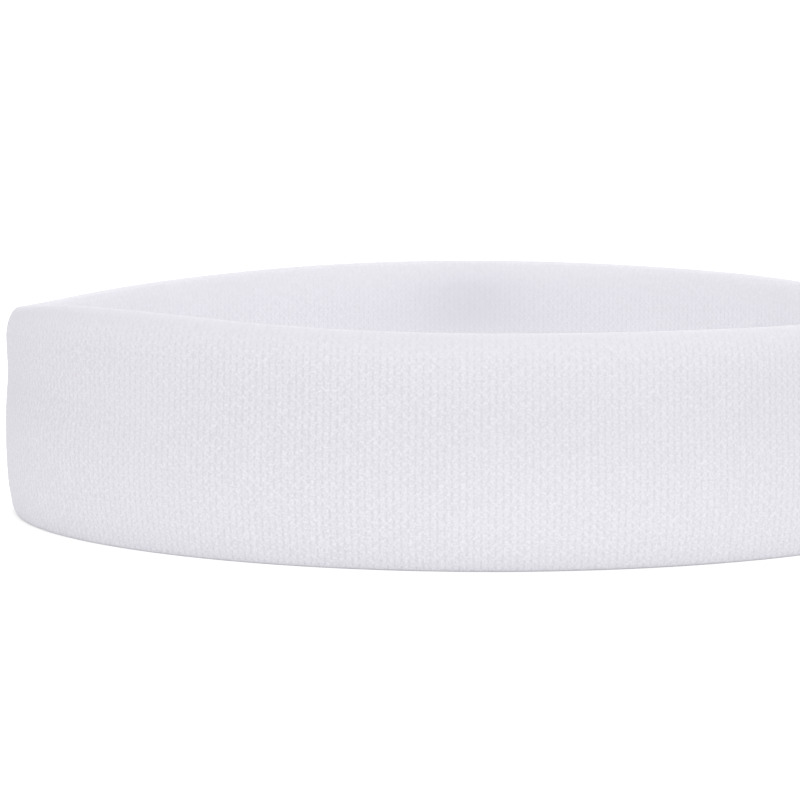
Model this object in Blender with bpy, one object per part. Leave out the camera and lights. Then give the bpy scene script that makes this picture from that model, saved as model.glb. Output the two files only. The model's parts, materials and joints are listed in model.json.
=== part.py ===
"""Sports headband: a folded knit ring round an absorbent core and an elastic tape.

The band stands on its lower edge, with the origin on the ground under its middle, +Z up and the back
seam at +Y. The ring is egg-shaped: broad and flat at the front, narrowing towards the back seam. A
section through the band is described by two distances: `out`, measured outwards from the middle line of
the ring, and `up`, the height above the ground.
"""
import bpy
from bisect import bisect
from math import asin, cos, hypot, pi, sin

# Driving dimensions, in metres
HALF_WIDTH = 0.0850          # of the oval that the ring's middle line starts from (X)
HALF_DEPTH = 0.0770          # from the middle to the front, and to the back seam (Y)
SIDE_SHIFT = 0.0068          # moves the widest part of the ring towards the front
BACK_TAPER = 0.0022          # flattens the front and draws the back together
FLANK_FLATTEN = 0.0030       # straightens the sides between the widest part and the back seam
BAND_HEIGHT = 0.040
WALL = 0.0060                # whole thickness of the band at its edges
BELLY = 0.0006               # how far the outer face stands out at half height
CLOTH = 0.0011               # thickness of the knit
GAP = 0.0003                 # clearance between neighbouring pieces

TOP_ROUND = 0.0040           # height of the soft fold along the top edge
LOWER_ROUND = 0.0030         # height of the round along the bottom edge
LOWER_FLAT_OUT = 0.0021      # the flat of the bottom edge ends here ...
LOWER_FLAT_IN = 0.0013       # ... and starts here, on each side of the seam
SEAM_ROUND = 0.0022          # height of the round into the bottom seam
ALLOWANCE_TOP = 0.0055       # top of the edges that are turned inside
FOLD_FLOOR = 0.0013          # cloth under the turn of those edges

THREAD = 0.0004
SEAM_SLIT = THREAD + 2 * GAP

CORE_THICKNESS = 0.0021
CORE_BOTTOM = 0.0070
CORE_TOP = 0.0365
CORE_EDGE = 0.0005           # bevel on the core's edges
CORE_BACK_GAP = 0.016        # the core stops this far from the back seam, on each side

ELASTIC_THICKNESS = 0.0007
ELASTIC_BOTTOM = 0.0100
ELASTIC_TOP = 0.0350
ELASTIC_LAP = 0.0070         # half the overlap of the elastic's ends
ELASTIC_STEP = 0.0060        # length over which the lower end steps inwards

BOTTOM_STITCH = 0.0060       # length of one whole stitch
BOTTOM_STITCH_LOW = 0.0020
BOTTOM_STITCH_HIGH = 0.0046
CLOSING_HALF_LENGTH = 0.030
CLOSING_STITCH = 0.0040
CLOSING_STITCH_HIGH = 0.0036

BACK_STITCH = 0.0030
ZIGZAG_STEP = 0.0016
ZIGZAG_REACH = 0.0030

LABEL_LENGTH = 0.022
LABEL_BOTTOM = 0.0050
LABEL_TOP = 0.0190
LABEL_THICKNESS = 0.0004
LABEL_ROOT = 0.00045         # radius of the rolled root that the label turns on
LABEL_STAND_OFF = 0.0020     # how far the free end stands further off the wall

LINING = WALL / 2 - CLOTH    # half the width of the space between the two faces
RING_SEGMENTS = 65           # an odd number, so that one flat piece of the ring faces the front


def make_material(name, colour, roughness):
    material = bpy.data.materials.new(name)
    material.use_nodes = True
    shader = material.node_tree.nodes["Principled BSDF"]
    shader.inputs["Base Color"].default_value = (*colour, 1.0)
    shader.inputs["Roughness"].default_value = roughness
    shader.inputs["Metallic"].default_value = 0.0
    return material


def make_collection(name):
    collection = bpy.data.collections.new(name)
    bpy.context.scene.collection.children.link(collection)
    return collection


def ring_point(turn, out, up):
    """A point of the band: `turn` in radians from the back seam towards +X."""
    oval = HALF_DEPTH - FLANK_FLATTEN
    x = HALF_WIDTH * sin(turn) - SIDE_SHIFT * sin(2 * turn)
    y = oval * cos(turn) + BACK_TAPER * (cos(2 * turn) - 1) + FLANK_FLATTEN * cos(3 * turn)
    along_x = HALF_WIDTH * cos(turn) - 2 * SIDE_SHIFT * cos(2 * turn)
    along_y = -oval * sin(turn) - 2 * BACK_TAPER * sin(2 * turn) - 3 * FLANK_FLATTEN * sin(3 * turn)
    scale = out / hypot(along_x, along_y)
    return (x - along_y * scale, y + along_x * scale, up)


def back_turn(distance):
    """The turn that lies this far from the back seam, for places near it."""
    return distance / (HALF_WIDTH - 2 * SIDE_SHIFT)


def spread(start, end, steps):
    return [start + (end - start) * k / steps for k in range(steps + 1)]


def walk(start, end):
    """Closely spaced turns, and how far along the ring's middle line each of them lies."""
    turns = spread(start, end, 4000)
    places = [ring_point(turn, 0, 0) for turn in turns]
    run = [0.0]
    for (x0, y0, _), (x1, y1, _) in zip(places, places[1:]):
        run.append(run[-1] + hypot(x1 - x0, y1 - y0))
    return turns, run


def even_turns(start, end, steps):
    """Turns that divide the ring's middle line into equal lengths."""
    turns, run = walk(start, end)
    middle = [turns[bisect(run, run[-1] * k / steps)] for k in range(1, steps)]
    return [start] + middle + [end]


def arc(centre_out, centre_up, reach_out, reach_up, start, end, steps):
    """Points of a section on a quarter or half ellipse, angles in turns of pi."""
    return [(centre_out + reach_out * cos(pi * a), centre_up + reach_up * sin(pi * a))
            for a in spread(start, end, steps)]


def make_curve(name, points, closed, flat):
    data = bpy.data.curves.new(name, "CURVE")
    data.dimensions = "2D" if flat else "3D"
    spline = data.splines.new("POLY")
    spline.points.add(len(points) - 1)
    for target, point in zip(spline.points, points):
        target.co = (*point[:3], 1.0)
    spline.use_cyclic_u = closed
    return data


def add_part(name, data, material):
    part = bpy.data.objects.new(name, data)
    part.data.materials.append(material)
    parts.objects.link(part)
    return part


def sweep(name, section, turns, out_at, material):
    """A section of (out, up) points carried along the ring at the given turns.

    The path runs from the last turn to the first, which makes the section's first axis point outwards,
    and the section is taken in reverse, which makes the swept faces point outwards.
    """
    outline = [(out, up, 0) for out, up in reversed(section)]
    profile = make_curve(name + "_section", outline, True, True)
    guide = bpy.data.objects.new(name + "_section", profile)
    guide.hide_render = True
    guide.display_type = "WIRE"
    guides.objects.link(guide)
    places = [ring_point(turn, out_at(turn), 0) for turn in reversed(turns)]
    path = make_curve(name, places, False, True)
    path.bevel_mode = "OBJECT"
    path.bevel_object = guide
    path.use_fill_caps = True
    return add_part(name, path, material)


def thread(name, points, material):
    path = make_curve(name, points, False, False)
    path.bevel_depth = THREAD / 2
    path.bevel_resolution = 1
    path.use_fill_caps = True
    return add_part(name, path, material)


def belly(up):
    """How far the outer face stands out at a height."""
    low, high = LOWER_ROUND, BAND_HEIGHT - TOP_ROUND
    return BELLY * sin(pi * min(max((up - low) / (high - low), 0), 1))


def shell_section():
    """The knit's section: round the outside from one turned-in edge to the other, then back inside."""
    half = WALL / 2
    slit = SEAM_SLIT / 2
    shoulder = BAND_HEIGHT - TOP_ROUND
    edge_in = LOWER_FLAT_IN - slit
    edge_out = half - LOWER_FLAT_OUT
    hidden = slit + CLOTH
    levels = spread(LOWER_ROUND, shoulder, 5)[1:-1]

    section = [(slit, ALLOWANCE_TOP)]
    section += arc(LOWER_FLAT_IN, SEAM_ROUND, edge_in, SEAM_ROUND, 1.0, 1.5, 3)
    section += arc(LOWER_FLAT_OUT, LOWER_ROUND, edge_out, LOWER_ROUND, -0.5, 0.0, 3)
    section += [(half + belly(up), up) for up in levels]
    section += arc(0, shoulder, half, TOP_ROUND, 0.0, 1.0, 8)
    section += arc(-LOWER_FLAT_OUT, LOWER_ROUND, edge_out, LOWER_ROUND, 1.0, 1.5, 3)
    section += arc(-LOWER_FLAT_IN, SEAM_ROUND, edge_in, SEAM_ROUND, -0.5, 0.0, 3)
    section += [(-slit, ALLOWANCE_TOP), (-hidden, ALLOWANCE_TOP)]
    section += [(-hidden, FOLD_FLOOR), (-LINING, FOLD_FLOOR)]
    section += arc(0, shoulder, LINING, TOP_ROUND - CLOTH, 1.0, 0.0, 6)
    section += [(LINING + belly(up), up) for up in reversed(levels)]
    section += [(LINING, FOLD_FLOOR), (hidden, FOLD_FLOOR), (hidden, ALLOWANCE_TOP)]
    return section


def make_knit_shell(material):
    start = back_turn(SEAM_SLIT / 2)
    turns = even_turns(start, 2 * pi - start, RING_SEGMENTS)
    sweep("knit_shell", shell_section(), turns, lambda turn: 0.0, material)


def make_absorbent_core(material):
    inner, outer = -LINING + GAP, -LINING + GAP + CORE_THICKNESS
    edge = CORE_EDGE
    section = [(outer - edge, CORE_BOTTOM), (outer, CORE_BOTTOM + edge),
               (outer, CORE_TOP - edge), (outer - edge, CORE_TOP),
               (inner + edge, CORE_TOP), (inner, CORE_TOP - edge),
               (inner, CORE_BOTTOM + edge), (inner + edge, CORE_BOTTOM)]
    start = back_turn(CORE_BACK_GAP)
    sweep("absorbent_core", section, even_turns(start, 2 * pi - start, RING_SEGMENTS - 1),
          lambda turn: 0.0, material)


def make_elastic_band(material):
    """The tape's far end steps inwards and passes behind its near end at the back."""
    half = ELASTIC_THICKNESS / 2
    place = LINING - GAP - half
    lap, step = back_turn(ELASTIC_LAP), back_turn(ELASTIC_STEP)
    step_start = 2 * pi - lap - step

    def out_at(turn):
        share = min(max((turn - step_start) / step, 0), 1)
        return place - (ELASTIC_THICKNESS + GAP) * share

    section = [(half, ELASTIC_BOTTOM), (half, ELASTIC_TOP),
               (-half, ELASTIC_TOP), (-half, ELASTIC_BOTTOM)]
    turns = even_turns(-lap, step_start, RING_SEGMENTS - 1) + [2 * pi - lap, 2 * pi, 2 * pi + lap]
    sweep("elastic_band", section, turns, out_at, material)


def running_stitch(start, end, stitch, low, high):
    """Points of a thread that rises and falls between the two turned-in edges."""
    length = walk(start, end)[1][-1]
    return [ring_point(turn, 0, high if k % 2 else low)
            for k, turn in enumerate(even_turns(start, end, 2 * round(length / stitch)))]


def make_bottom_seam_thread(material):
    start = back_turn(CLOSING_HALF_LENGTH + BOTTOM_STITCH / 2)
    points = running_stitch(start, 2 * pi - start, BOTTOM_STITCH, BOTTOM_STITCH_LOW, BOTTOM_STITCH_HIGH)
    thread("bottom_seam_thread", points, material)


def make_closing_thread(material):
    reach = back_turn(CLOSING_HALF_LENGTH)
    points = running_stitch(-reach, reach, CLOSING_STITCH, BOTTOM_STITCH_LOW, CLOSING_STITCH_HIGH)
    thread("closing_thread", points, material)


def make_back_seam_thread(material):
    """Up the outer face, over the top fold and down the inner face, between the ends of the knit."""
    middle = LINING + CLOTH / 2
    shoulder = BAND_HEIGHT - TOP_ROUND
    low = ALLOWANCE_TOP + THREAD
    steps = round((shoulder - low) / BACK_STITCH)
    line = [(middle + belly(up), up) for up in spread(low, shoulder, steps)[:-1]]
    line += arc(0, shoulder, middle, TOP_ROUND - CLOTH / 2, 0.0, 1.0, 6)
    line += [(-middle, up) for up in spread(shoulder, low, steps)[1:]]
    thread("back_seam_thread", [ring_point(0, out, up) for out, up in line], material)


def make_elastic_joint_thread(material):
    """Zigzag on the inner side of the elastic's overlap."""
    out = LINING - 3 * GAP - 2 * ELASTIC_THICKNESS - THREAD / 2
    low, high = ELASTIC_BOTTOM + ZIGZAG_STEP, ELASTIC_TOP - ZIGZAG_STEP
    reach = back_turn(ZIGZAG_REACH)
    points = [ring_point(-reach if k % 2 else reach, out, up)
              for k, up in enumerate(spread(low, high, round((high - low) / ZIGZAG_STEP)))]
    thread("elastic_joint_thread", points, material)


def make_care_label(material):
    """A thin flap along the inner wall, on a rolled root that lies on the back seam's line."""
    wall_to_root = GAP + LABEL_ROOT
    axis_y = HALF_DEPTH - WALL / 2 - wall_to_root
    half = LABEL_THICKNESS / 2
    side = asin(half / LABEL_ROOT) / pi

    def flap_side(offset):
        points = []
        for share in spread(0, 1, 12)[1:]:
            out = -WALL / 2 - wall_to_root - LABEL_STAND_OFF * share ** 2 + offset
            x, y, _ = ring_point(back_turn(LABEL_LENGTH) * share, out, 0)
            points.append((x, y - axis_y, 0))
        return points

    root = [(x, y, 0) for x, y in arc(0, 0, LABEL_ROOT, LABEL_ROOT, side, 2 - side, 10)]
    outline = make_curve("care_label", root + flap_side(-half) + flap_side(half)[::-1], True, True)
    outline.fill_mode = "BOTH"
    outline.extrude = (LABEL_TOP - LABEL_BOTTOM) / 2
    label = add_part("care_label", outline, material)
    label.location = (0, axis_y, (LABEL_TOP + LABEL_BOTTOM) / 2)


for old in list(bpy.data.objects):
    bpy.data.objects.remove(old)
parts = make_collection("sports_headband")
guides = make_collection("sports_headband_guides")

make_knit_shell(make_material("white_knit", (0.82, 0.81, 0.86), 0.95))
make_absorbent_core(make_material("absorbent_fleece", (0.86, 0.85, 0.82), 1.0))
make_elastic_band(make_material("woven_elastic", (0.80, 0.79, 0.76), 0.7))
make_bottom_seam_thread(make_material("bottom_seam_polyester", (0.84, 0.84, 0.86), 0.5))
make_closing_thread(make_material("closing_polyester", (0.82, 0.82, 0.84), 0.5))
make_back_seam_thread(make_material("back_seam_polyester", (0.84, 0.83, 0.85), 0.5))
make_elastic_joint_thread(make_material("zigzag_polyester", (0.80, 0.80, 0.83), 0.5))
make_care_label(make_material("label_satin", (0.88, 0.88, 0.89), 0.4))
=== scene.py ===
"""Looks for the sports headband: a folded white knit ring, its seams, core, elastic and care label.

Metres, +Z up. The band stands on its lower edge round the origin, with its back seam at +Y. A section
through the band is given by `out`, the distance outwards from the ring's middle line, and `up`.
"""
import json
from math import cos, pi, radians, sin

import bpy
import numpy as np
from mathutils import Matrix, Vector


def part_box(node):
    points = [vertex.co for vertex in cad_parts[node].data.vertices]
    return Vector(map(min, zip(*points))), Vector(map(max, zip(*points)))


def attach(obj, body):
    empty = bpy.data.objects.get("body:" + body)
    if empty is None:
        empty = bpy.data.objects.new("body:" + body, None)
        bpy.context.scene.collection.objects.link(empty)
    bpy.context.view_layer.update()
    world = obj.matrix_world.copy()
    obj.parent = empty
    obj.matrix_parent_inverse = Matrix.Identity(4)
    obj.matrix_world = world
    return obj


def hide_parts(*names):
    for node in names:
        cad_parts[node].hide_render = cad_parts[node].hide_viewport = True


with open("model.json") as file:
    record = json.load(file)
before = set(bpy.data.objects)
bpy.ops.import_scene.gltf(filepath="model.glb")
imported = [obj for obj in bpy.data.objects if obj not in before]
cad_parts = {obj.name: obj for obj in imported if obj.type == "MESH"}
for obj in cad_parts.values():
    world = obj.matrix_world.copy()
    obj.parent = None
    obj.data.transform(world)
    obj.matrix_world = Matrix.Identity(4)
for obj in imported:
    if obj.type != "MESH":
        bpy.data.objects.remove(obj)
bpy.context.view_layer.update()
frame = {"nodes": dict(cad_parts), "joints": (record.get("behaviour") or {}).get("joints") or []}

# ---------------------------------------------------------------- the ring, as it is in the frame
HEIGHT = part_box("knit_shell")[1].z
HINGE = Vector(frame["joints"][0]["pos_m"])
LABEL_LOW, LABEL_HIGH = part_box("care_label")
CORE_LOW, CORE_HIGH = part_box("absorbent_core")
ELASTIC_LOW, ELASTIC_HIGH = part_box("elastic_band")
HALF_WIDTH = 0.0850                 # of the oval that the ring's middle line starts from
HALF_DEPTH = 0.0770
SIDE_SHIFT = 0.0068                 # moves the widest part towards the front
BACK_TAPER = 0.0022                 # flattens the front and draws the back together
FLANK_FLATTEN = 0.0030              # straightens the sides towards the back

WALL = 0.0060                       # thickness of the band at its edges
BELLY = 0.00104                     # fullness of the outer face
BELLY_LEAN = 0.6                    # draws its fullest place down
HOLLOW = 0.0003                     # how far it falls in under the top fold
HOLLOW_PLACE, HOLLOW_WIDTH = 0.78, 0.14     # shares of the outer face's height
CLOTH = 0.0011                      # thickness of the knit
LINING = WALL / 2 - CLOTH           # from the band's middle to the knit's hidden side
TOP_ROUND = 0.0060                  # height of the soft fold along the top edge
LOWER_ROUND = 0.0030                # height of the outer curves along the bottom
LOWER_FLAT_OUT = 0.0021             # the bottom lies on the table between these two, on each side
LOWER_FLAT_IN = 0.0013
SEAM_ROUND = 0.0022                 # height of the curves into the seam
SLIT = 0.0010                       # between the two turned-in edges at the bottom
ALLOWANCE_TOP = 0.0055              # height of the turned-in edges
FOLD_FLOOR = 0.0013                 # height of the knit's hidden side at the bottom
CURVE_STEPS, FACE_STEPS = 24, 60    # steps of the section's small curves, and of its face and top fold
LINING_LEVELS, LINING_STEPS = 5, 8  # the same for the hidden side
TURN_STEPS = 14400

# ---------------------------------------------------------------- the knit
WALES = 426                         # upright columns of stitches round the band
COURSE = 0.00117                    # height of one row of stitches
WALE_SAMPLES = 4                    # steps of the mesh across a wale
COURSE_SAMPLES = 3                  # and along a course
UV_MARGIN = 0.01                    # share of each unwrapped strip that is kept clear at its edges
LEG_SLANT = 1.0                     # fall of a leg from its wale's edge to the middle, in courses
LEG_RISE = 0.00006                  # relief of a leg
LEG_FULLNESS = 0.7                  # a power: below 1 makes it fuller
GAP_DROP = 0.00004                  # depth of the holes between wales
GAP_WIDTH = 0.26                    # reach of the gap between two wales, in wales
GAP_EVEN = 0.23                     # painted shade in that gap between its holes
GAP_HOLE = 0.94                     # how much more painted shade lies in the holes
GAP_TUCK = 0.35                     # every other hole runs into the one below
LOOP_SHADE = 0.30                   # painted shade between one stitch of a wale and the next
LEG_SHADE = 0.05                    # painted shade where one leg passes under the next
LEG_BUMP = 0.00004                  # relief of the yarn beyond what the mesh carries
EVEN_YARN = 0.88                    # tone where the stitches lie too close to tell apart
STRAND_SHADE = 0.85                 # how much of the gaps' colour the uneven strands take
PAINTED_SHADE_STRENGTH = 0.36                   # and how much of it the painted shade takes, in folds, gathers and along the top edge
# the gaps' colour is painted shade; the pale colours and the cloudy KNIT_SHADE vary the tone at random
KNIT_GAP = (0.615, 0.605, 0.649)
KNIT_GAP_PALE = (0.715, 0.705, 0.750)
KNIT_LEG = (0.792, 0.782, 0.830)
KNIT_LEG_PALE = (0.820, 0.810, 0.858)
KNIT_SHADE = (0.745, 0.735, 0.780)

FRONT_CLEAR, FRONT_FADE = 0.050, 0.060      # the outer stitches stand apart this near the front
BACK_CLEAR, BACK_FADE = 0.030, 0.060        # and the back, and lie closer beyond
INNER_OPENNESS = 0.60               # of the stitches inside and at the sides, where 1 is the front
FOLD_SMOOTH = 0.55                  # how far the stretched fold closes them up
FOLD_SMOOTH_INSIDE = 0.40           # and how much more inside
FOLD_REACH = 0.0035                 # how far down the fold does it
FOLD_REACH_INSIDE = 0.40            # and how much further inside, as a share

SEAM_DROP = 0.00040                 # depth of the back seam's groove
SEAM_WIDTH = 0.0005                 # and its width
GROOVE_START, GROOVE_FADE = 0.004, 0.003    # the groove begins this high, over this height
GROOVE_INSIDE = 0.3                 # its depth inside, as a share
THREAD = 0.00036                    # thickness of the ladder's thread
THREAD_SIDES = 8
THREAD_TIP = 0.05                   # the thread narrows to this share at its ends
THREAD_UPRIGHT = (0, 0.2, 1.0)      # never quite along the thread
LADDER_PITCH = 0.00016              # from one point of the ladder's thread to the next
LADDER_STEP = 0.0014                # from one stitch across the back seam to the next
LADDER_REACH = 0.0007               # how far the stitches reach to each side
LADDER_SUNK = 0.15                  # how far the thread sinks into the groove, in thicknesses
LADDER_BOTTOM = 0.007               # height of its two ends
LADDER_START = 0.008                # past the turned-in edge, along the section

# ---------------------------------------------------------------- how the soft band gives, and where shade is painted on it
# hills: height, centre and width along the ring, centre and width up the band
BACK_GATHERS_AND_SHADE = (                    # gathers of the inner face, by distance from the back seam; painted shade lies in them too
    (1.00, -0.001, 0.0085, 0.031, 0.0055),
    (0.20, -0.062, 0.0050, 0.032, 0.0040),
    (0.15, -0.086, 0.0060, 0.034, 0.0030),
    (0.15, 0.052, 0.0050, 0.031, 0.0040),
    (0.10, 0.078, 0.0060, 0.031, 0.0040),
)
GATHER_DEPTH = 0.0015
# painted shade on the inner face, by distance from the back seam
INNER_SHADE = ((0.50, -0.010, 0.024, 0.0262, 0.0030),)
OUTER_SHADE = (                     # soft painted shade on the outer face, by distance from the front
    (0.35, -0.120, 0.020, 0.0266, 0.0060),
    (0.35, 0.018, 0.020, 0.0260, 0.0050),
    (0.45, 0.055, 0.010, 0.0280, 0.0060),
)
CREST_SHADE = (                     # the same along the top edge
    (0.90, -0.020, 0.075, HEIGHT, 0.0016),
    (0.40, -0.090, 0.020, HEIGHT, 0.0016),
)
DRAWN, DRAWN_WIDTH = 0.45, 0.022    # painted shade where the back seam draws the inner face together
DRAWN_TOP, DRAWN_FADE = 0.038, 0.004

# hills along the ring: height, centre and width, by distance from the front
TOP_EDGE = (                        # how the top edge rises and falls
    (0.0020, -0.070, 0.026),
    (-0.0022, -0.128, 0.024),
    (-0.0022, 0.128, 0.024),
    (-0.0006, -0.175, 0.022),
)
TOP_EDGE_SHARE = 1.5                # a power: how far the cloth below the top edge follows it
FRONT_SWELL = (0.0007, 0.020, 0.065)
SWELL_LEAN = 0.8                    # draws the fullest place of that swell down
FLANKS = ((1.0, -0.120, 0.030), (1.0, 0.120, 0.030))
FLANK_PULL = 0.0003                 # how far the outer face lies further in at the flanks
FLANK_TUCK, TUCK_TOP = 0.0009, 0.007        # and how much further at the bottom, up to this height
OUTER_WAVES = (                     # height, radians per metre along the ring and up it, phase
    (0.00022, 71, 0, 0.6),
    (0.00016, 38, 120, 1.1),
    (0.00010, 143, -90, 2.0),
)
INNER_WAVE = (0.00012, 83, 0, 0.4)
CREASE = (-0.0007, -0.080, 0.018)   # a slanting crease in the outer face, on the -X side of the front
CREASE_UP, CREASE_SLANT, CREASE_WIDTH = 0.0245, 0.12, 0.0028
CREASE_MIDDLE = -0.085              # it has that height here
LABEL_SPACE = (1.0, 0.011, 0.016)   # the inner face lies flat behind the label, below its top edge
LABEL_SPACE_TOP, LABEL_SPACE_FADE = 0.021, 0.006

# ---------------------------------------------------------------- between the two faces of the knit
CORE_GAP = 0.0003                   # from the core or the elastic to the knit
CORE_THICKNESS = 0.0021
CORE_BACK_GAP = 0.016               # the core stops this far from the back seam, on each side
CORE_EDGE = 0.05                    # share of its height over which it thins towards a cut edge
CORE_CUT = 0.35                     # its thickness there, as a share
CORE_DIMPLE = 0.05                  # depth of its uneven places, as a share of its thickness
DIMPLES_ALONG, DIMPLES_UP = 410, 260        # radians per metre
CORE_LEVELS, CORE_PITCH = 36, 0.0015        # steps of the mesh up it, and their length along it
ELASTIC_THICKNESS = 0.0007
ELASTIC_LAP = 0.0070                # half the overlap of the elastic's ends
ELASTIC_STEP = 0.0060               # length over which its far end steps inwards
RIB_PITCH = 0.00125
RIB_DEPTH = 0.22                    # as a share of the tape's thickness
RIB_SAMPLES, ELASTIC_PITCH = 4, 0.002       # steps of the mesh across a rib, and their length along it

# ---------------------------------------------------------------- the care label
INNER_WALL_Y = HALF_DEPTH - WALL / 2        # at the back seam
LABEL_LENGTH = 0.0215
LABEL_STAND_OFF = 0.0020            # how much further the free end stands from the wall than the root
LABEL_PLY = 0.00013
LABEL_PLY_GAP = 0.00012             # from the label's middle plane to the middle of each ply
LABEL_PINCH = 0.6                   # that distance at the root and the fold, as a share
LABEL_BOW = 0.00025                 # how far its top and bottom edges curl
LABEL_STEPS, LABEL_LEVELS = 40, 14  # steps of the mesh along it and up it


def spread(start, end, steps):
    return start + (end - start) * np.arange(steps + 1) / steps


def arc(centre_out, centre_up, reach_out, reach_up, start, end, steps):
    angles = pi * spread(start, end, steps)
    return [(centre_out + reach_out * cos(a), centre_up + reach_up * sin(a)) for a in angles]


def bump(value, centre, width):
    """A smooth hill of height one."""
    return np.exp(-0.5 * ((value - centre) / width) ** 2)


def ridges(along, places):
    """The sum of hills along the ring, the same at every height."""
    return sum(height * bump(along, centre, width) for height, centre, width in places)


def hills(along, up, places):
    """The sum of hills on a face of the band."""
    return sum(height * bump(along, centre, width) * bump(up, level, reach)
               for height, centre, width, level, reach in places)


def waves(along, up, places):
    return sum(height * np.sin(along * across + up * upward + phase)
               for height, across, upward, phase in places)


def tangents(line):
    direction = np.gradient(line, axis=0)
    return direction / np.linalg.norm(direction, axis=1)[:, None]


# ---------------------------------------------------------------- plan of the ring
def ring_points(turn, out, up):
    """Points of the band; `turn` runs from the back seam towards +X."""
    oval = HALF_DEPTH - FLANK_FLATTEN
    x = HALF_WIDTH * np.sin(turn) - SIDE_SHIFT * np.sin(2 * turn)
    y = oval * np.cos(turn) + BACK_TAPER * (np.cos(2 * turn) - 1) + FLANK_FLATTEN * np.cos(3 * turn)
    along_x = HALF_WIDTH * np.cos(turn) - 2 * SIDE_SHIFT * np.cos(2 * turn)
    along_y = (-oval * np.sin(turn) - 2 * BACK_TAPER * np.sin(2 * turn)
               - 3 * FLANK_FLATTEN * np.sin(3 * turn))
    scale = out / np.hypot(along_x, along_y)
    return np.stack(np.broadcast_arrays(x - along_y * scale, y + along_x * scale, up), -1)


FINE_TURNS = spread(0, 2 * pi, TURN_STEPS)
FINE_STEPS = np.linalg.norm(np.diff(ring_points(FINE_TURNS, 0, 0), axis=0), axis=1)
RUN = np.concatenate([[0], np.cumsum(FINE_STEPS)])
ROUND = RUN[-1]                     # length of the middle line


def turn_at(run):
    """The turn that lies this far along the ring's middle line from the back seam."""
    return np.interp(np.mod(run, ROUND), RUN, FINE_TURNS) + 2 * pi * np.floor(run / ROUND)


# ---------------------------------------------------------------- section of the knit
def belly(up):
    """How far the outer face stands out at a height."""
    low, high = LOWER_ROUND, HEIGHT - TOP_ROUND
    share = np.clip((up - low) / (high - low), 0, 1)
    full = BELLY * (1 - share) ** BELLY_LEAN
    return np.sin(pi * share) * (full - HOLLOW * bump(share, HOLLOW_PLACE, HOLLOW_WIDTH))


def skin_line():
    """The knit's visible side in section, from the outer turned-in edge round to the inner one."""
    half, slit, shoulder = WALL / 2, SLIT / 2, HEIGHT - TOP_ROUND
    edge_in, edge_out = LOWER_FLAT_IN - slit, half - LOWER_FLAT_OUT
    line = [(slit, ALLOWANCE_TOP)]
    line += arc(LOWER_FLAT_IN, SEAM_ROUND, edge_in, SEAM_ROUND, 1.0, 1.5, CURVE_STEPS)
    line += arc(LOWER_FLAT_OUT, LOWER_ROUND, edge_out, LOWER_ROUND, -0.5, 0.0, CURVE_STEPS)
    line += [(half + belly(up), up) for up in spread(LOWER_ROUND, shoulder, FACE_STEPS)[1:-1]]
    line += arc(0, shoulder, half, TOP_ROUND, 0.0, 1.0, FACE_STEPS)
    line += arc(-LOWER_FLAT_OUT, LOWER_ROUND, edge_out, LOWER_ROUND, 1.0, 1.5, CURVE_STEPS)
    line += arc(-LOWER_FLAT_IN, SEAM_ROUND, edge_in, SEAM_ROUND, -0.5, 0.0, CURVE_STEPS)
    line += [(-slit, ALLOWANCE_TOP)]
    return np.array(line)


def lining_line():
    """The knit's hidden side in section, from the inner turned-in edge back to the outer one."""
    hidden, shoulder = SLIT / 2 + CLOTH, HEIGHT - TOP_ROUND
    levels = spread(LOWER_ROUND, shoulder, LINING_LEVELS)
    line = [(-hidden, ALLOWANCE_TOP), (-hidden, FOLD_FLOOR), (-LINING, FOLD_FLOOR)]
    line += [(-LINING, up) for up in levels[:-1]]
    line += arc(0, shoulder, LINING, TOP_ROUND - CLOTH, 1.0, 0.0, LINING_STEPS)
    line += [(LINING + belly(up), up) for up in levels[-2::-1]]
    line += [(LINING, FOLD_FLOOR), (hidden, FOLD_FLOOR), (hidden, ALLOWANCE_TOP)]
    return np.array(line)


def resample(line, pitch):
    """Even points along a line, with their distances along it and their outward normals."""
    steps = np.linalg.norm(np.diff(line, axis=0), axis=1)
    along = np.concatenate([[0], np.cumsum(steps)])
    places = spread(0, along[-1], round(along[-1] / pitch))
    points = np.stack([np.interp(places, along, line[:, k]) for k in (0, 1)], 1)
    tangent = tangents(points)
    return points, places, np.stack([tangent[:, 1], -tangent[:, 0]], 1)


# ---------------------------------------------------------------- where the soft cloth lies
def from_back(run):
    """Distance along the ring from the back seam towards +X, negative on the other side."""
    return np.mod(run + ROUND / 2, ROUND) - ROUND / 2


def from_front(run):
    """Distance along the ring from the middle of the front towards +X."""
    return ROUND / 2 - np.mod(run, ROUND)


def outer_share(out):
    """1 on the outer face, 0 from the band's middle inwards."""
    return np.clip(out / (WALL / 2), 0, 1)


def stitch_openness(run, out, up):
    """How clearly the stitches stand apart, and so how much painted shade their gaps hold: least on the
    fold and at the sides.
    """
    outer, inner = outer_share(out) ** 2, outer_share(-out)
    past_front = np.clip((np.abs(from_front(run)) - FRONT_CLEAR) / FRONT_FADE, 0, 1)
    past_back = np.clip((np.abs(from_back(run)) - BACK_CLEAR) / BACK_FADE, 0, 1)
    face = INNER_OPENNESS + (1 - INNER_OPENNESS) * outer * (1 - past_front * past_back)
    fold = bump(up, HEIGHT, FOLD_REACH * (1 + FOLD_REACH_INSIDE * inner))
    return face * (1 - (FOLD_SMOOTH + FOLD_SMOOTH_INSIDE * inner) * fold)


def painted_shade(run, out, up):
    """Where painted shade lies: in the folds and where the cloth is drawn together, on the outer face and
    along the top edge.
    """
    front, back = from_front(run), from_back(run)
    drawn = DRAWN * bump(back, 0, DRAWN_WIDTH) * np.clip((DRAWN_TOP - up) / DRAWN_FADE, 0, 1)
    inside = hills(back, up, BACK_GATHERS_AND_SHADE) + drawn + hills(back, up, INNER_SHADE)
    faces = outer_share(-out) * inside + outer_share(out) * hills(front, up, OUTER_SHADE)
    return faces + hills(front, up, CREST_SHADE)


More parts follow.
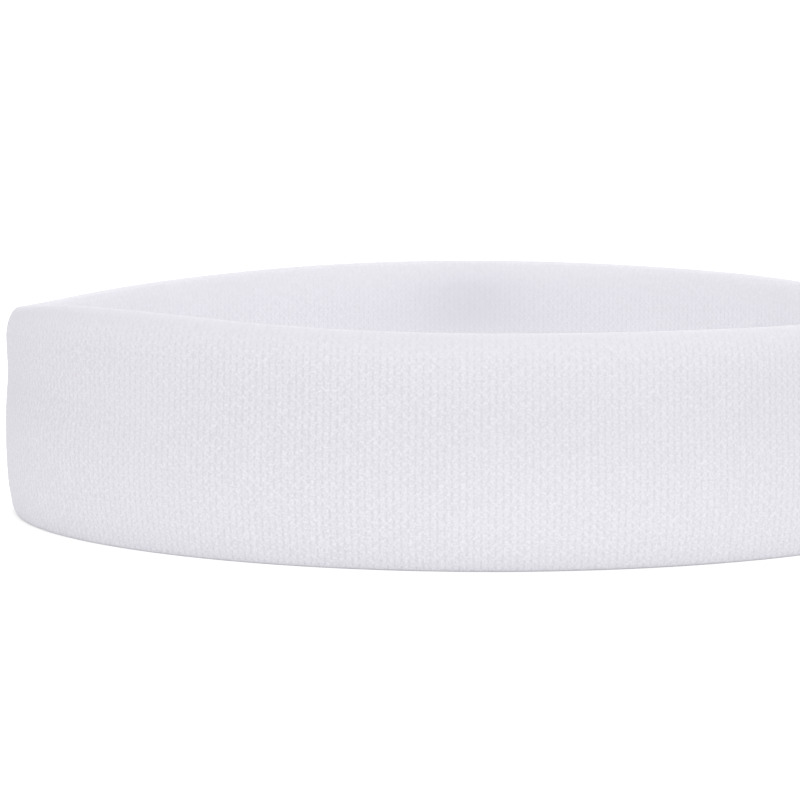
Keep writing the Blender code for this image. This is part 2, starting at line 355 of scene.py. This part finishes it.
def settle(run, out, up):
    """Where the soft cloth really lies, for places given by their run along the ring, out and up."""
    front, back = from_front(run), from_back(run)
    height = np.clip(up / HEIGHT, 0, 1)
    swelling = np.sin(pi * height)

    swell = ridges(front, [FRONT_SWELL]) * np.sin(pi * height ** SWELL_LEAN)
    swell = swell + waves(front, up, OUTER_WAVES) * swelling
    tuck = FLANK_TUCK * np.clip(1 - up / TUCK_TOP, 0, 1) ** 2
    swell = swell - ridges(front, FLANKS) * (FLANK_PULL + tuck)
    crease_up = CREASE_UP - CREASE_SLANT * (front - CREASE_MIDDLE)
    crease = ridges(front, [CREASE]) * bump(up, crease_up, CREASE_WIDTH)

    above_label = np.clip((up - LABEL_SPACE_TOP) / LABEL_SPACE_FADE, 0, 1)
    free = 1 - ridges(back, [LABEL_SPACE]) * (1 - above_label)
    gather = GATHER_DEPTH * hills(back, up, BACK_GATHERS_AND_SHADE) + waves(back, up, [INNER_WAVE]) * swelling
    moved_out = out + outer_share(out) * (swell + crease) + outer_share(-out) * free * gather
    return moved_out, up + ridges(front, TOP_EDGE) * height ** TOP_EDGE_SHARE


def seam_groove(run):
    return SEAM_DROP * bump(from_back(run), 0, SEAM_WIDTH)


# ---------------------------------------------------------------- meshes
def grid_faces(rows, columns, rows_closed=True):
    """Quads of a grid, rows first, facing out where each row runs anticlockwise round a section."""
    row, column = np.meshgrid(np.arange(rows - (not rows_closed)), np.arange(columns), indexing="ij")
    next_row, next_column = (row + 1) % rows, (column + 1) % columns
    corners = [row * columns + column, row * columns + next_column,
               next_row * columns + next_column, next_row * columns + column]
    return np.stack(corners, -1).reshape(-1, 4)


def tube_faces(rings, around):
    """Quads of a tube made of rings, with a strip of quads across each end."""
    strip = np.arange(around // 2 - 1)
    cap = np.column_stack([strip, strip + 1, around - 2 - strip, around - 1 - strip])
    last = cap + (rings - 1) * around
    return np.concatenate([grid_faces(rings, around, rows_closed=False), cap[:, ::-1], last])


def mesh_from_arrays(name, points, quads):
    mesh = bpy.data.meshes.new(name)
    mesh.vertices.add(len(points))
    mesh.vertices.foreach_set("co", np.asarray(points, np.float32).ravel())
    mesh.loops.add(quads.size)
    mesh.loops.foreach_set("vertex_index", quads.astype(np.int32).ravel())
    mesh.polygons.add(len(quads))
    mesh.polygons.foreach_set("loop_start", np.arange(0, quads.size, 4, dtype=np.int32))
    mesh.update(calc_edges=True)
    mesh.shade_smooth()
    piece = bpy.data.objects.new(name, mesh)
    bpy.context.scene.collection.objects.link(piece)
    return piece


def store(piece, name, kind, domain, field, values):
    """Keeps one value for each point or corner of a mesh, for its material to read."""
    layer = piece.data.attributes.new(name, kind, domain)
    layer.data.foreach_set(field, values.astype(np.float32).ravel())


def stitch_relief(wale, course):
    """Height of the knit where `wale` and `course` count the columns and rows of its stitches."""
    middle = 1 - 2 * np.abs(np.mod(wale, 1) - 0.5)
    leg = np.abs(np.sin(2 * pi * wale) * np.cos(pi * (course + LEG_SLANT * (1 - middle))))
    hole = middle * (0.5 - 0.5 * np.cos(2 * pi * course))
    return LEG_RISE * leg ** LEG_FULLNESS - GAP_DROP * hole


def make_knit():
    """The folded knit as one closed sheet: stitches on its visible side, its hidden side plain."""
    skin, distance, normal = resample(skin_line(), COURSE / COURSE_SAMPLES)
    lining = lining_line()
    rows, columns = len(skin) + len(lining), WALES * WALE_SAMPLES
    wale = np.arange(columns) / WALE_SAMPLES
    run = (wale / WALES * ROUND)[None, :]
    depth = np.clip((skin[:, 1:] - GROOVE_START) / GROOVE_FADE, 0, 1)
    depth = depth * np.clip(GROOVE_INSIDE + skin[:, :1] / (WALL / 2), GROOVE_INSIDE, 1)
    lift = stitch_relief(wale[None, :], distance[:, None] / COURSE) - seam_groove(run) * depth
    out, up = settle(run, skin[:, :1], skin[:, 1:])
    out, up = out + normal[:, :1] * lift, np.maximum(up + normal[:, 1:] * lift, 0)
    seen = ring_points(turn_at(run), out, up)
    hidden = ring_points(turn_at(run), *settle(run, lining[:, :1], lining[:, 1:]))
    points = np.concatenate([seen, hidden]).reshape(-1, 3)
    knit = mesh_from_arrays("knit_cloth", points, grid_faces(rows, columns)[:, ::-1])

    row, column = np.meshgrid(np.arange(rows), np.arange(columns), indexing="ij")
    corner_row = np.stack([row + 1, row + 1, row, row], -1)
    corner_column = np.stack([column, column + 1, column + 1, column], -1)
    courses = np.concatenate([distance / COURSE, np.zeros(len(lining))])
    both = np.concatenate([skin, lining])
    openness = stitch_openness(run, both[:, :1], both[:, 1:])
    which = corner_row % rows
    lattice = np.stack([corner_column / WALE_SAMPLES, courses[which],
                        openness[which, corner_column % columns]], -1)
    store(knit, "lattice", "FLOAT_VECTOR", "CORNER", "vector", lattice)
    store(knit, "painted_shade", "FLOAT", "POINT", "value", painted_shade(run, both[:, :1], both[:, 1:]))

    half = columns // 2             # the unwrapped sheet is laid in two strips
    strip = column[..., None] // half
    across = (corner_column - strip * half) / half
    upward = (strip + UV_MARGIN + (1 - 2 * UV_MARGIN) * corner_row / rows) / 2
    unwrapped = knit.data.uv_layers.new(name="OFBake")
    unwrapped.data.foreach_set("uv", np.stack([across, upward], -1).astype(np.float32).ravel())
    return knit


def make_tube(name, line, radius):
    """A round thread along a line of points, closed at both ends."""
    tangent = tangents(line)
    side = np.cross(tangent, THREAD_UPRIGHT)
    side /= np.linalg.norm(side, axis=1)[:, None]
    other = np.cross(tangent, side)
    angle = 2 * pi * np.arange(THREAD_SIDES) / THREAD_SIDES
    ring = side[:, None] * np.cos(angle)[None, :, None] + other[:, None] * np.sin(angle)[None, :, None]
    size = np.full(len(line), radius)
    size[0] = size[-1] = radius * THREAD_TIP
    points = (line[:, None] + ring * size[:, None, None]).reshape(-1, 3)
    return mesh_from_arrays(name, points, tube_faces(len(line), THREAD_SIDES))


def make_back_seam():
    """A ladder of short stitches that draws the two ends of the knit together."""
    skin, distance, normal = resample(skin_line(), LADDER_PITCH)
    above = np.flatnonzero((skin[:, 1] > LADDER_BOTTOM) & (distance > LADDER_START))
    skin, distance, normal = (values[above[0]:above[-1]] for values in (skin, distance, normal))
    phase = distance / LADDER_STEP * pi
    run = LADDER_REACH * np.sin(phase)
    lift = -SEAM_DROP - LADDER_SUNK * THREAD + (SEAM_DROP - THREAD / 2) * np.sin(phase) ** 2
    out, up = settle(run, skin[:, 0], skin[:, 1])
    points = ring_points(turn_at(run), out + normal[:, 0] * lift, up + normal[:, 1] * lift)
    return make_tube("back_seam_ladder", points, THREAD / 2)


def make_strip(name, section, start, end, pitch, shape):
    """A closed section of (out, up) points carried along the ring between two runs, with flat ends.

    `shape` moves the points: it takes run, out and up, and returns out and up.
    """
    run = spread(start, end, round((end - start) / pitch))
    out, up = shape(run[:, None], section[None, :, 0], section[None, :, 1])
    points = ring_points(turn_at(run[:, None]), out, up)
    return mesh_from_arrays(name, points.reshape(-1, 3), tube_faces(len(run), len(section)))


def two_sided(low, high, half, steps):
    """A flat section, up its outer side and down its inner side."""
    levels = spread(low, high, steps)
    return np.array([(half, up) for up in levels] + [(-half, up) for up in levels[::-1]])


def make_core():
    """Brushed fleece, thinner along its cut edges."""
    middle = -LINING + CORE_GAP + CORE_THICKNESS / 2

    def lofted(run, out, up):
        share = (up - CORE_LOW.z) / (CORE_HIGH.z - CORE_LOW.z)
        full = np.clip(np.minimum(share, 1 - share) / CORE_EDGE, 0, 1) ** 0.5
        dimples = CORE_DIMPLE * np.abs(np.sin(run * DIMPLES_ALONG + up * DIMPLES_UP))
        return middle + out * (CORE_CUT + (1 - CORE_CUT) * full - dimples * full), up

    section = two_sided(CORE_LOW.z, CORE_HIGH.z, CORE_THICKNESS / 2, CORE_LEVELS)
    return make_strip("fleece_core", section, CORE_BACK_GAP, ROUND - CORE_BACK_GAP, CORE_PITCH, lofted)


def make_elastic():
    """Ribbed tape whose far end steps inwards behind its near end."""
    half = ELASTIC_THICKNESS / 2
    middle = LINING - CORE_GAP - half
    step_end = ROUND - ELASTIC_LAP

    def ribbed(run, out, up):
        share = np.clip((run - step_end + ELASTIC_STEP) / ELASTIC_STEP, 0, 1)
        rib = 1 - RIB_DEPTH * (0.5 - 0.5 * np.cos(2 * pi * (up - ELASTIC_LOW.z) / RIB_PITCH))
        return middle - (ELASTIC_THICKNESS + CORE_GAP) * share + out * rib, up

    ribs = round((ELASTIC_HIGH.z - ELASTIC_LOW.z) / RIB_PITCH)
    section = two_sided(ELASTIC_LOW.z, ELASTIC_HIGH.z, half, ribs * RIB_SAMPLES)
    return make_strip("elastic_tape", section, -ELASTIC_LAP, ROUND + ELASTIC_LAP, ELASTIC_PITCH, ribbed)


def ribbon(name, line, low, high, thickness, levels, bow):
    """A strip of tape along a line in plan, standing between two heights, closed all round."""
    tangent = tangents(line)
    normal = np.stack([tangent[:, 1], -tangent[:, 0]], 1)
    outline = np.concatenate([line + normal * thickness / 2, (line - normal * thickness / 2)[::-1]])
    share = np.arange(len(line)) / (len(line) - 1)
    share = np.concatenate([share, share[::-1]])
    points = []
    for height in spread(low, high, levels):
        offset = (height - (low + high) / 2) / (high - low) * 2
        shift = bow * offset ** 2 * np.sin(pi * np.minimum(share, 1 - share))
        level = np.full(len(outline), height)
        points.append(np.column_stack([outline[:, 0], outline[:, 1] - shift, level]))
    return mesh_from_arrays(name, np.concatenate(points), tube_faces(levels + 1, len(outline)))


def make_care_label():
    """A strip of satin folded double: both ends in the back seam, the fold at the free end."""
    share = spread(0, 1, LABEL_STEPS)
    run = LABEL_LENGTH * share
    out = -WALL / 2 - (INNER_WALL_Y - HINGE.y) - LABEL_STAND_OFF * share ** 2
    middle = ring_points(turn_at(run), out, 0)[:, :2]
    tangent = tangents(middle)
    normal = np.stack([-tangent[:, 1], tangent[:, 0]], 1)
    part = LABEL_PLY_GAP * (LABEL_PINCH + (1 - LABEL_PINCH) * np.sin(pi * share))[:, None]
    tip = middle[-1] + tangent[-1] * LABEL_PLY_GAP
    line = np.concatenate([middle + normal * part, tip[None], (middle - normal * part)[::-1]])
    return ribbon("care_label_tape", line, LABEL_LOW.z, LABEL_HIGH.z, LABEL_PLY, LABEL_LEVELS, LABEL_BOW)


# ---------------------------------------------------------------- materials
THREAD_DARK, THREAD_LIGHT, THREAD_FUZZ = (0.66, 0.655, 0.69), (0.78, 0.775, 0.805), (0.84, 0.84, 0.86)
FLEECE_DARK, FLEECE_LIGHT, FLEECE_TUFT = (0.70, 0.685, 0.65), (0.86, 0.85, 0.82), (0.78, 0.76, 0.72)
ELASTIC_DARK, ELASTIC_LIGHT, ELASTIC_WORN = (0.62, 0.61, 0.58), (0.80, 0.79, 0.76), (0.85, 0.84, 0.82)
SATIN_DARK, SATIN_LIGHT = (0.74, 0.74, 0.77), (0.86, 0.86, 0.88)
EDGE_DARK, EDGE_LIGHT = (0.66, 0.66, 0.69), (0.80, 0.80, 0.83)
EDGE_INNER, EDGE_OUTER = 0.0003, 0.0007     # the label's woven edge fades between these, from its rim
WHITE = (1, 1, 1, 1)


def set_inputs(made, **inputs):
    for name, value in inputs.items():
        made.inputs[name.replace("_", " ")].default_value = value


def new_material(name):
    material = bpy.data.materials.new(name)
    material.use_nodes = True
    tree = material.node_tree
    return material, tree, tree.nodes["Principled BSDF"]


def node(tree, kind, **inputs):
    made = tree.nodes.new("ShaderNode" + kind)
    set_inputs(made, **inputs)
    return made


def object_place(tree):
    return node(tree, "TexCoord").outputs["Object"]


def attribute(tree, name):
    """A value kept with the mesh."""
    made = node(tree, "Attribute")
    made.attribute_name = name
    return made.outputs


def parted(tree, vector):
    """The X, Y and Z of a vector."""
    made = node(tree, "SeparateXYZ")
    tree.links.new(vector, made.inputs["Vector"])
    return [made.outputs[axis] for axis in "XYZ"]


def maths(tree, operation, *values):
    """The result of one sum; each value is a number or an output."""
    made = node(tree, "Math")
    made.operation = operation
    for slot, value in zip(made.inputs, values):
        if isinstance(value, (int, float)):
            slot.default_value = value
        else:
            tree.links.new(value, slot)
    return made.outputs["Value"]


def blend(tree, factor, low, high):
    """One colour or the other, by a factor from 0 to 1."""
    mix = node(tree, "Mix")
    mix.data_type = "RGBA"
    for name, colour in (("A", low), ("B", high)):
        if isinstance(colour, tuple):
            mix.inputs[name].default_value = (*colour, 1)
        else:
            tree.links.new(colour, mix.inputs[name])
    tree.links.new(factor, mix.inputs["Factor"])
    return mix.outputs["Result"]


def rescale(tree, value, low, high, to_low=0.0, to_high=1.0):
    ramp = node(tree, "MapRange", From_Min=low, From_Max=high, To_Min=to_low, To_Max=to_high)
    tree.links.new(value, ramp.inputs["Value"])
    return ramp.outputs["Result"]


def noise(tree, vector, scale, detail=3.0, rough=0.6):
    made = node(tree, "TexNoise", Scale=scale, Detail=detail, Roughness=rough)
    tree.links.new(vector, made.inputs["Vector"])
    return made.outputs["Fac"]


def bands(tree, vector, scale, distortion, direction="X"):
    made = node(tree, "TexWave", Scale=scale, Distortion=distortion, Detail=2.0)
    made.bands_direction = direction
    tree.links.new(vector, made.inputs["Vector"])
    return made.outputs["Fac"]


def mapped(tree, vector, **inputs):
    made = node(tree, "Mapping", **inputs)
    tree.links.new(vector, made.inputs["Vector"])
    return made.outputs["Vector"]


def coloured(tree, shader, colour):
    tree.links.new(colour, shader.inputs["Base Color"])


def bumped(tree, shader, height, strength, distance, before=None):
    """Relief on the shader, on top of the relief `before`."""
    made = node(tree, "Bump", Strength=strength, Distance=distance)
    tree.links.new(height, made.inputs["Height"])
    if before:
        tree.links.new(before, made.inputs["Normal"])
    tree.links.new(made.outputs["Normal"], shader.inputs["Normal"])
    return made.outputs["Normal"]


def matt(shader, roughness, specular, sheen):
    set_inputs(shader, Roughness=roughness, Specular_IOR_Level=specular,
               Sheen_Weight=sheen, Sheen_Roughness=0.5)


def stitch_pattern(tree, wale, course, openness):
    """A jersey: 1 on the yarn, towards 0 where shade is painted, in the holes between the wales and under
    the loops.
    """
    side = maths(tree, "PINGPONG", wale, 0.5)
    edge = rescale(tree, side, GAP_WIDTH, 0.0)
    turned = maths(tree, "COSINE", maths(tree, "MULTIPLY", course, 2 * pi))
    hole = rescale(tree, turned, 1.0, -1.0, 0.0, GAP_HOLE)
    tuck = maths(tree, "MULTIPLY", maths(tree, "COSINE", maths(tree, "MULTIPLY", wale, pi)),
                 maths(tree, "COSINE", maths(tree, "MULTIPLY", course, pi)))
    gap = maths(tree, "SUBTRACT", maths(tree, "ADD", hole, GAP_EVEN),
                maths(tree, "MULTIPLY", tuck, GAP_TUCK))
    loop = maths(tree, "MULTIPLY", rescale(tree, turned, -1.0, 1.0, 0.0, LOOP_SHADE),
                 maths(tree, "SUBTRACT", 1.0, edge))
    fall = maths(tree, "ADD", course, maths(tree, "MULTIPLY", side, 2 * LEG_SLANT))
    under = maths(tree, "ABSOLUTE", maths(tree, "SINE", maths(tree, "MULTIPLY", fall, pi)))
    under = maths(tree, "MULTIPLY", maths(tree, "POWER", under, 3.0), LEG_SHADE)
    dark = maths(tree, "ADD", maths(tree, "ADD", maths(tree, "MULTIPLY", edge, gap), loop), under)
    open_yarn = maths(tree, "SUBTRACT", 1.0, dark)
    return maths(tree, "MULTIPLY_ADD", maths(tree, "SUBTRACT", open_yarn, EVEN_YARN), openness, EVEN_YARN)


def knit_material():
    """The legs of the stitches are lighter than the gaps, where shade is painted; fibres and twist make
    both uneven.

    The lattice counts wales in X and courses in Y, and holds in Z how clearly the stitches stand apart.
    """
    material, tree, shader = new_material("white_knit")
    place = object_place(tree)
    lattice = attribute(tree, "lattice")["Vector"]
    wale, course, openness = parted(tree, lattice)
    yarn = stitch_pattern(tree, wale, course, openness)
    uneven = rescale(tree, noise(tree, lattice, scale=1.3, detail=4.0), 0.32, 0.68)
    # painted shade in the gaps, from the stitch pattern
    shade = blend(tree, yarn, KNIT_GAP, KNIT_LEG)
    pale = blend(tree, yarn, KNIT_GAP_PALE, KNIT_LEG_PALE)
    tufted = blend(tree, uneven, shade, pale)
    strands = noise(tree, lattice, scale=3.2, detail=3.0, rough=0.7)
    strands = rescale(tree, strands, 0.35, 0.65, 0.0, STRAND_SHADE)
    twisted = blend(tree, maths(tree, "MULTIPLY", strands, openness), tufted, KNIT_GAP)
    cloudy = rescale(tree, noise(tree, place, scale=28.0, detail=2.0), 0.35, 0.65, 0.0, 0.12)
    clouded = blend(tree, cloudy, twisted, KNIT_SHADE)
    # painted shade in the folds, gathers, outer face and top edge, mixed towards the gaps' colour
    painted_dark = maths(tree, "MULTIPLY", attribute(tree, "painted_shade")["Fac"], PAINTED_SHADE_STRENGTH)
    coloured(tree, shader, blend(tree, painted_dark, clouded, KNIT_GAP))
    stitches = bumped(tree, shader, yarn, strength=1.0, distance=LEG_BUMP)
    fibres = noise(tree, place, scale=5200.0, detail=4.0, rough=0.7)
    bumped(tree, shader, fibres, strength=0.35, distance=0.00003, before=stitches)
    matt(shader, roughness=0.95, specular=0.15, sheen=0.0)
    return material


def thread_material(name):
    """Twisted polyester: slanting plies with a slight shine."""
    material, tree, shader = new_material(name)
    place = object_place(tree)
    slanting = mapped(tree, place, Rotation=(0.6, 0.5, 0.7))
    plies = bands(tree, slanting, scale=900.0, distortion=1.5)
    tone = blend(tree, plies, THREAD_DARK, THREAD_LIGHT)
    fuzz = rescale(tree, noise(tree, place, scale=3000.0), 0.3, 0.7, 0.0, 0.25)
    coloured(tree, shader, blend(tree, fuzz, tone, THREAD_FUZZ))
    bumped(tree, shader, plies, strength=0.5, distance=0.00005)
    matt(shader, roughness=0.5, specular=0.4, sheen=0.1)
    return material


def fleece_material():
    """Brushed nap with low tufts."""
    material, tree, shader = new_material("brushed_fleece")
    place = object_place(tree)
    nap = noise(tree, place, scale=900.0, detail=5.0, rough=0.7)
    tufts = noise(tree, place, scale=210.0, detail=2.0)
    tone = blend(tree, rescale(tree, nap, 0.3, 0.7), FLEECE_DARK, FLEECE_LIGHT)
    coloured(tree, shader, blend(tree, rescale(tree, tufts, 0.4, 0.7, 0.0, 0.35), tone, FLEECE_TUFT))
    tufted = bumped(tree, shader, tufts, strength=0.5, distance=0.0004)
    bumped(tree, shader, nap, strength=0.8, distance=0.00025, before=tufted)
    matt(shader, roughness=1.0, specular=0.1, sheen=0.4)
    return material


def elastic_material():
    """Woven tape: fine ribs along its length, crossed by the rubber's gathering."""
    material, tree, shader = new_material("woven_elastic_tape")
    place = object_place(tree)
    ribs = bands(tree, place, scale=260.0, distortion=0.6, direction="Z")
    gather = noise(tree, place, scale=1400.0, detail=3.0)
    tone = blend(tree, ribs, ELASTIC_DARK, ELASTIC_LIGHT)
    coloured(tree, shader, blend(tree, rescale(tree, gather, 0.35, 0.65, 0.0, 0.3), tone, ELASTIC_WORN))
    ribbed = bumped(tree, shader, ribs, strength=0.7, distance=0.00015)
    bumped(tree, shader, gather, strength=0.4, distance=0.00008, before=ribbed)
    matt(shader, roughness=0.7, specular=0.3, sheen=0.1)
    return material


def satin_material():
    """Satin tape: long floats that catch the light, a woven edge top and bottom."""
    material, tree, shader = new_material("white_satin")
    place = object_place(tree)
    floats = mapped(tree, place, Scale=(2600.0, 2600.0, 500.0))
    weave = noise(tree, floats, scale=1.0, detail=3.0, rough=0.65)
    rows = bands(tree, place, scale=900.0, distortion=1.0, direction="Z")
    tone = blend(tree, rescale(tree, weave, 0.35, 0.65), SATIN_DARK, SATIN_LIGHT)
    height = parted(tree, place)[2]
    low = rescale(tree, height, LABEL_LOW.z + EDGE_INNER, LABEL_LOW.z + EDGE_OUTER, 1.0, 0.0)
    high = rescale(tree, height, LABEL_HIGH.z - EDGE_OUTER, LABEL_HIGH.z - EDGE_INNER)
    edge = maths(tree, "MAXIMUM", low, high)
    woven = blend(tree, rows, EDGE_DARK, EDGE_LIGHT)
    coloured(tree, shader, blend(tree, edge, tone, woven))
    woven_bump = bumped(tree, shader, weave, strength=0.35, distance=0.00003)
    bumped(tree, shader, rows, strength=0.15, distance=0.00002, before=woven_bump)
    matt(shader, roughness=0.38, specular=0.5, sheen=0.15)
    return material


# ---------------------------------------------------------------- stage, light and camera
CAMERA_DISTANCE = 0.5272            # from the camera to the middle of the ring, along the ground
CAMERA_HEIGHT = 0.0882
CAMERA_PITCH = radians(7.515)
CAMERA_YAW = radians(1.585)
LENS, SENSOR = 121.9, 36            # millimetres
OVERHEAD_LIGHT = dict(place=(0, 0, 1.6), aim=(0, 0, 0), size=3.0, power=29.5)
FRONT_LIGHT = dict(place=(0.30, -1.10, 0.85), aim=(0, 0, 0.02), size=0.7, power=2.6)
SKY = 0.57                          # light from all round
SKY_SIDES = 0.18                    # how much less of it comes from the two sides
CONTACT_REACH = 0.007               # a painted shadow dims the table's glow this far round the band's lower edge
CONTACT_SHADE = 0.48                # how strongly
CONTACT_SAMPLES = 8
FLOOR_RADIUS, FLOOR_SIDES = 8, 96
INSIDE = 0.070                      # the inside of the ring reaches this far
INSIDE_FADE = 0.010
GLOW_INSIDE = 0.20                  # extra glow of the table inside the ring
GLOW_IN_FRONT = 0.20                # and in front of it
FRONT_SPOT = (0, -0.060, 0)
FRONT_NEAR, FRONT_FAR = 0.060, 0.140        # it fades between these distances from that spot
TABLE_GLOW = 0.80                   # light that comes up through the white table
TABLE_WHITE = (0.40, 0.40, 0.40, 1)
BACKDROP_WHITE = (0.9, 0.9, 0.9, 1)
BACKDROP_GLOW = 1.05
BACKDROP_PLACE = (0, 3.0, 1.0)
BACKDROP_SIZE = (3.2, 2.2, 1)


def make_camera():
    camera = bpy.data.cameras.new("camera")
    camera.lens = LENS
    camera.sensor_width = SENSOR
    holder = bpy.data.objects.new("camera", camera)
    bpy.context.scene.collection.objects.link(holder)
    holder.location = (0, -CAMERA_DISTANCE, CAMERA_HEIGHT)
    holder.rotation_euler = (pi / 2 - CAMERA_PITCH, 0, CAMERA_YAW)
    bpy.context.scene.camera = holder


def make_light(name, place, aim, size, power):
    light = bpy.data.lights.new(name, "AREA")
    light.shape = "SQUARE"
    light.size = size
    light.energy = power
    holder = bpy.data.objects.new(name, light)
    holder.location = place
    holder.rotation_euler = (Vector(aim) - Vector(place)).to_track_quat("-Z", "Y").to_euler()
    holder.visible_camera = False
    bpy.context.scene.collection.objects.link(holder)


def distance_from(tree, place, centre):
    offset = node(tree, "VectorMath")
    offset.operation = "DISTANCE"
    offset.inputs[1].default_value = centre
    tree.links.new(place, offset.inputs[0])
    return offset.outputs["Value"]


def make_floor():
    """A white table that glows as if lit from below, with more glow painted inside and in front of the
    ring and a painted shadow in its glow round the band's lower edge.
    """
    bpy.ops.mesh.primitive_circle_add(vertices=FLOOR_SIDES, radius=FLOOR_RADIUS, fill_type="NGON",
                                      location=(0, 0, 0))
    floor = bpy.context.object
    floor.name = "floor"
    material, tree, shader = new_material("pale_floor")
    set_inputs(shader, Base_Color=TABLE_WHITE, Roughness=1.0,
               Specular_IOR_Level=0.0, Emission_Color=WHITE)
    near = node(tree, "AmbientOcclusion", Distance=CONTACT_REACH)
    near.samples = CONTACT_SAMPLES
    place = object_place(tree)
    from_middle = distance_from(tree, place, (0, 0, 0))
    from_spot = distance_from(tree, place, FRONT_SPOT)
    inside = rescale(tree, from_middle, INSIDE, INSIDE - INSIDE_FADE, 0.0, GLOW_INSIDE)
    front = rescale(tree, from_spot, FRONT_NEAR, FRONT_FAR, GLOW_IN_FRONT, 0.0)
    glow = maths(tree, "ADD", maths(tree, "MAXIMUM", inside, front), TABLE_GLOW)
    # painted contact shadow: the glow is dimmed where the band stands near
    clear = maths(tree, "POWER", near.outputs["AO"], CONTACT_SHADE)
    tree.links.new(maths(tree, "MULTIPLY", glow, clear), shader.inputs["Emission Strength"])
    floor.data.materials.append(material)


def make_backdrop():
    bpy.ops.mesh.primitive_plane_add(size=1, location=BACKDROP_PLACE, rotation=(pi / 2, 0, 0))
    backdrop = bpy.context.object
    backdrop.name = "backdrop"
    backdrop.scale = BACKDROP_SIZE
    material, _, shader = new_material("white_backdrop")
    set_inputs(shader, Base_Color=BACKDROP_WHITE, Roughness=1.0,
               Emission_Color=WHITE, Emission_Strength=BACKDROP_GLOW)
    backdrop.data.materials.append(material)


def make_sky():
    """Even white light, a little weaker from the two sides."""
    world = bpy.data.worlds.new("studio")
    world.use_nodes = True
    sky = world.node_tree
    background = sky.nodes["Background"]
    background.inputs["Color"].default_value = WHITE
    across = parted(sky, node(sky, "TexCoord").outputs["Generated"])[0]
    sideways = maths(sky, "MULTIPLY", across, across)
    strength = maths(sky, "SUBTRACT", SKY, maths(sky, "MULTIPLY", sideways, SKY_SIDES))
    sky.links.new(strength, background.inputs["Strength"])
    bpy.context.scene.world = world


def set_view():
    view = bpy.context.scene.view_settings
    view.view_transform = "Standard"
    view.look = "None"
    view.exposure = 0
    view.gamma = 1


make_camera()
make_floor()
make_backdrop()
make_sky()
set_view()
make_light("overhead_softbox", **OVERHEAD_LIGHT)
make_light("front_softbox", **FRONT_LIGHT)

knit = make_knit()
knit.data.materials.append(knit_material())
ladder = make_back_seam()
ladder.data.materials.append(thread_material("ladder_thread"))
label = make_care_label()
label.data.materials.append(satin_material())
core = make_core()
core.data.materials.append(fleece_material())
elastic = make_elastic()
elastic.data.materials.append(elastic_material())
for piece, body, node_name, slot in (
    (knit, "band", "knit_shell", "knit"),
    (ladder, "band", "back_seam_thread", "seam_thread"),
    (core, "band", "absorbent_core", "core_fleece"),
    (elastic, "band", "elastic_band", "elastic"),
    (label, "label", "care_label", "label_satin"),
):
    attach(piece, body)
    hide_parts(node_name)
for node_name in ("bottom_seam_thread", "closing_thread", "elastic_joint_thread"):
    stitches = frame["nodes"][node_name]
    stitches.data.materials.clear()
    stitches.data.materials.append(thread_material(node_name + "_yarn"))
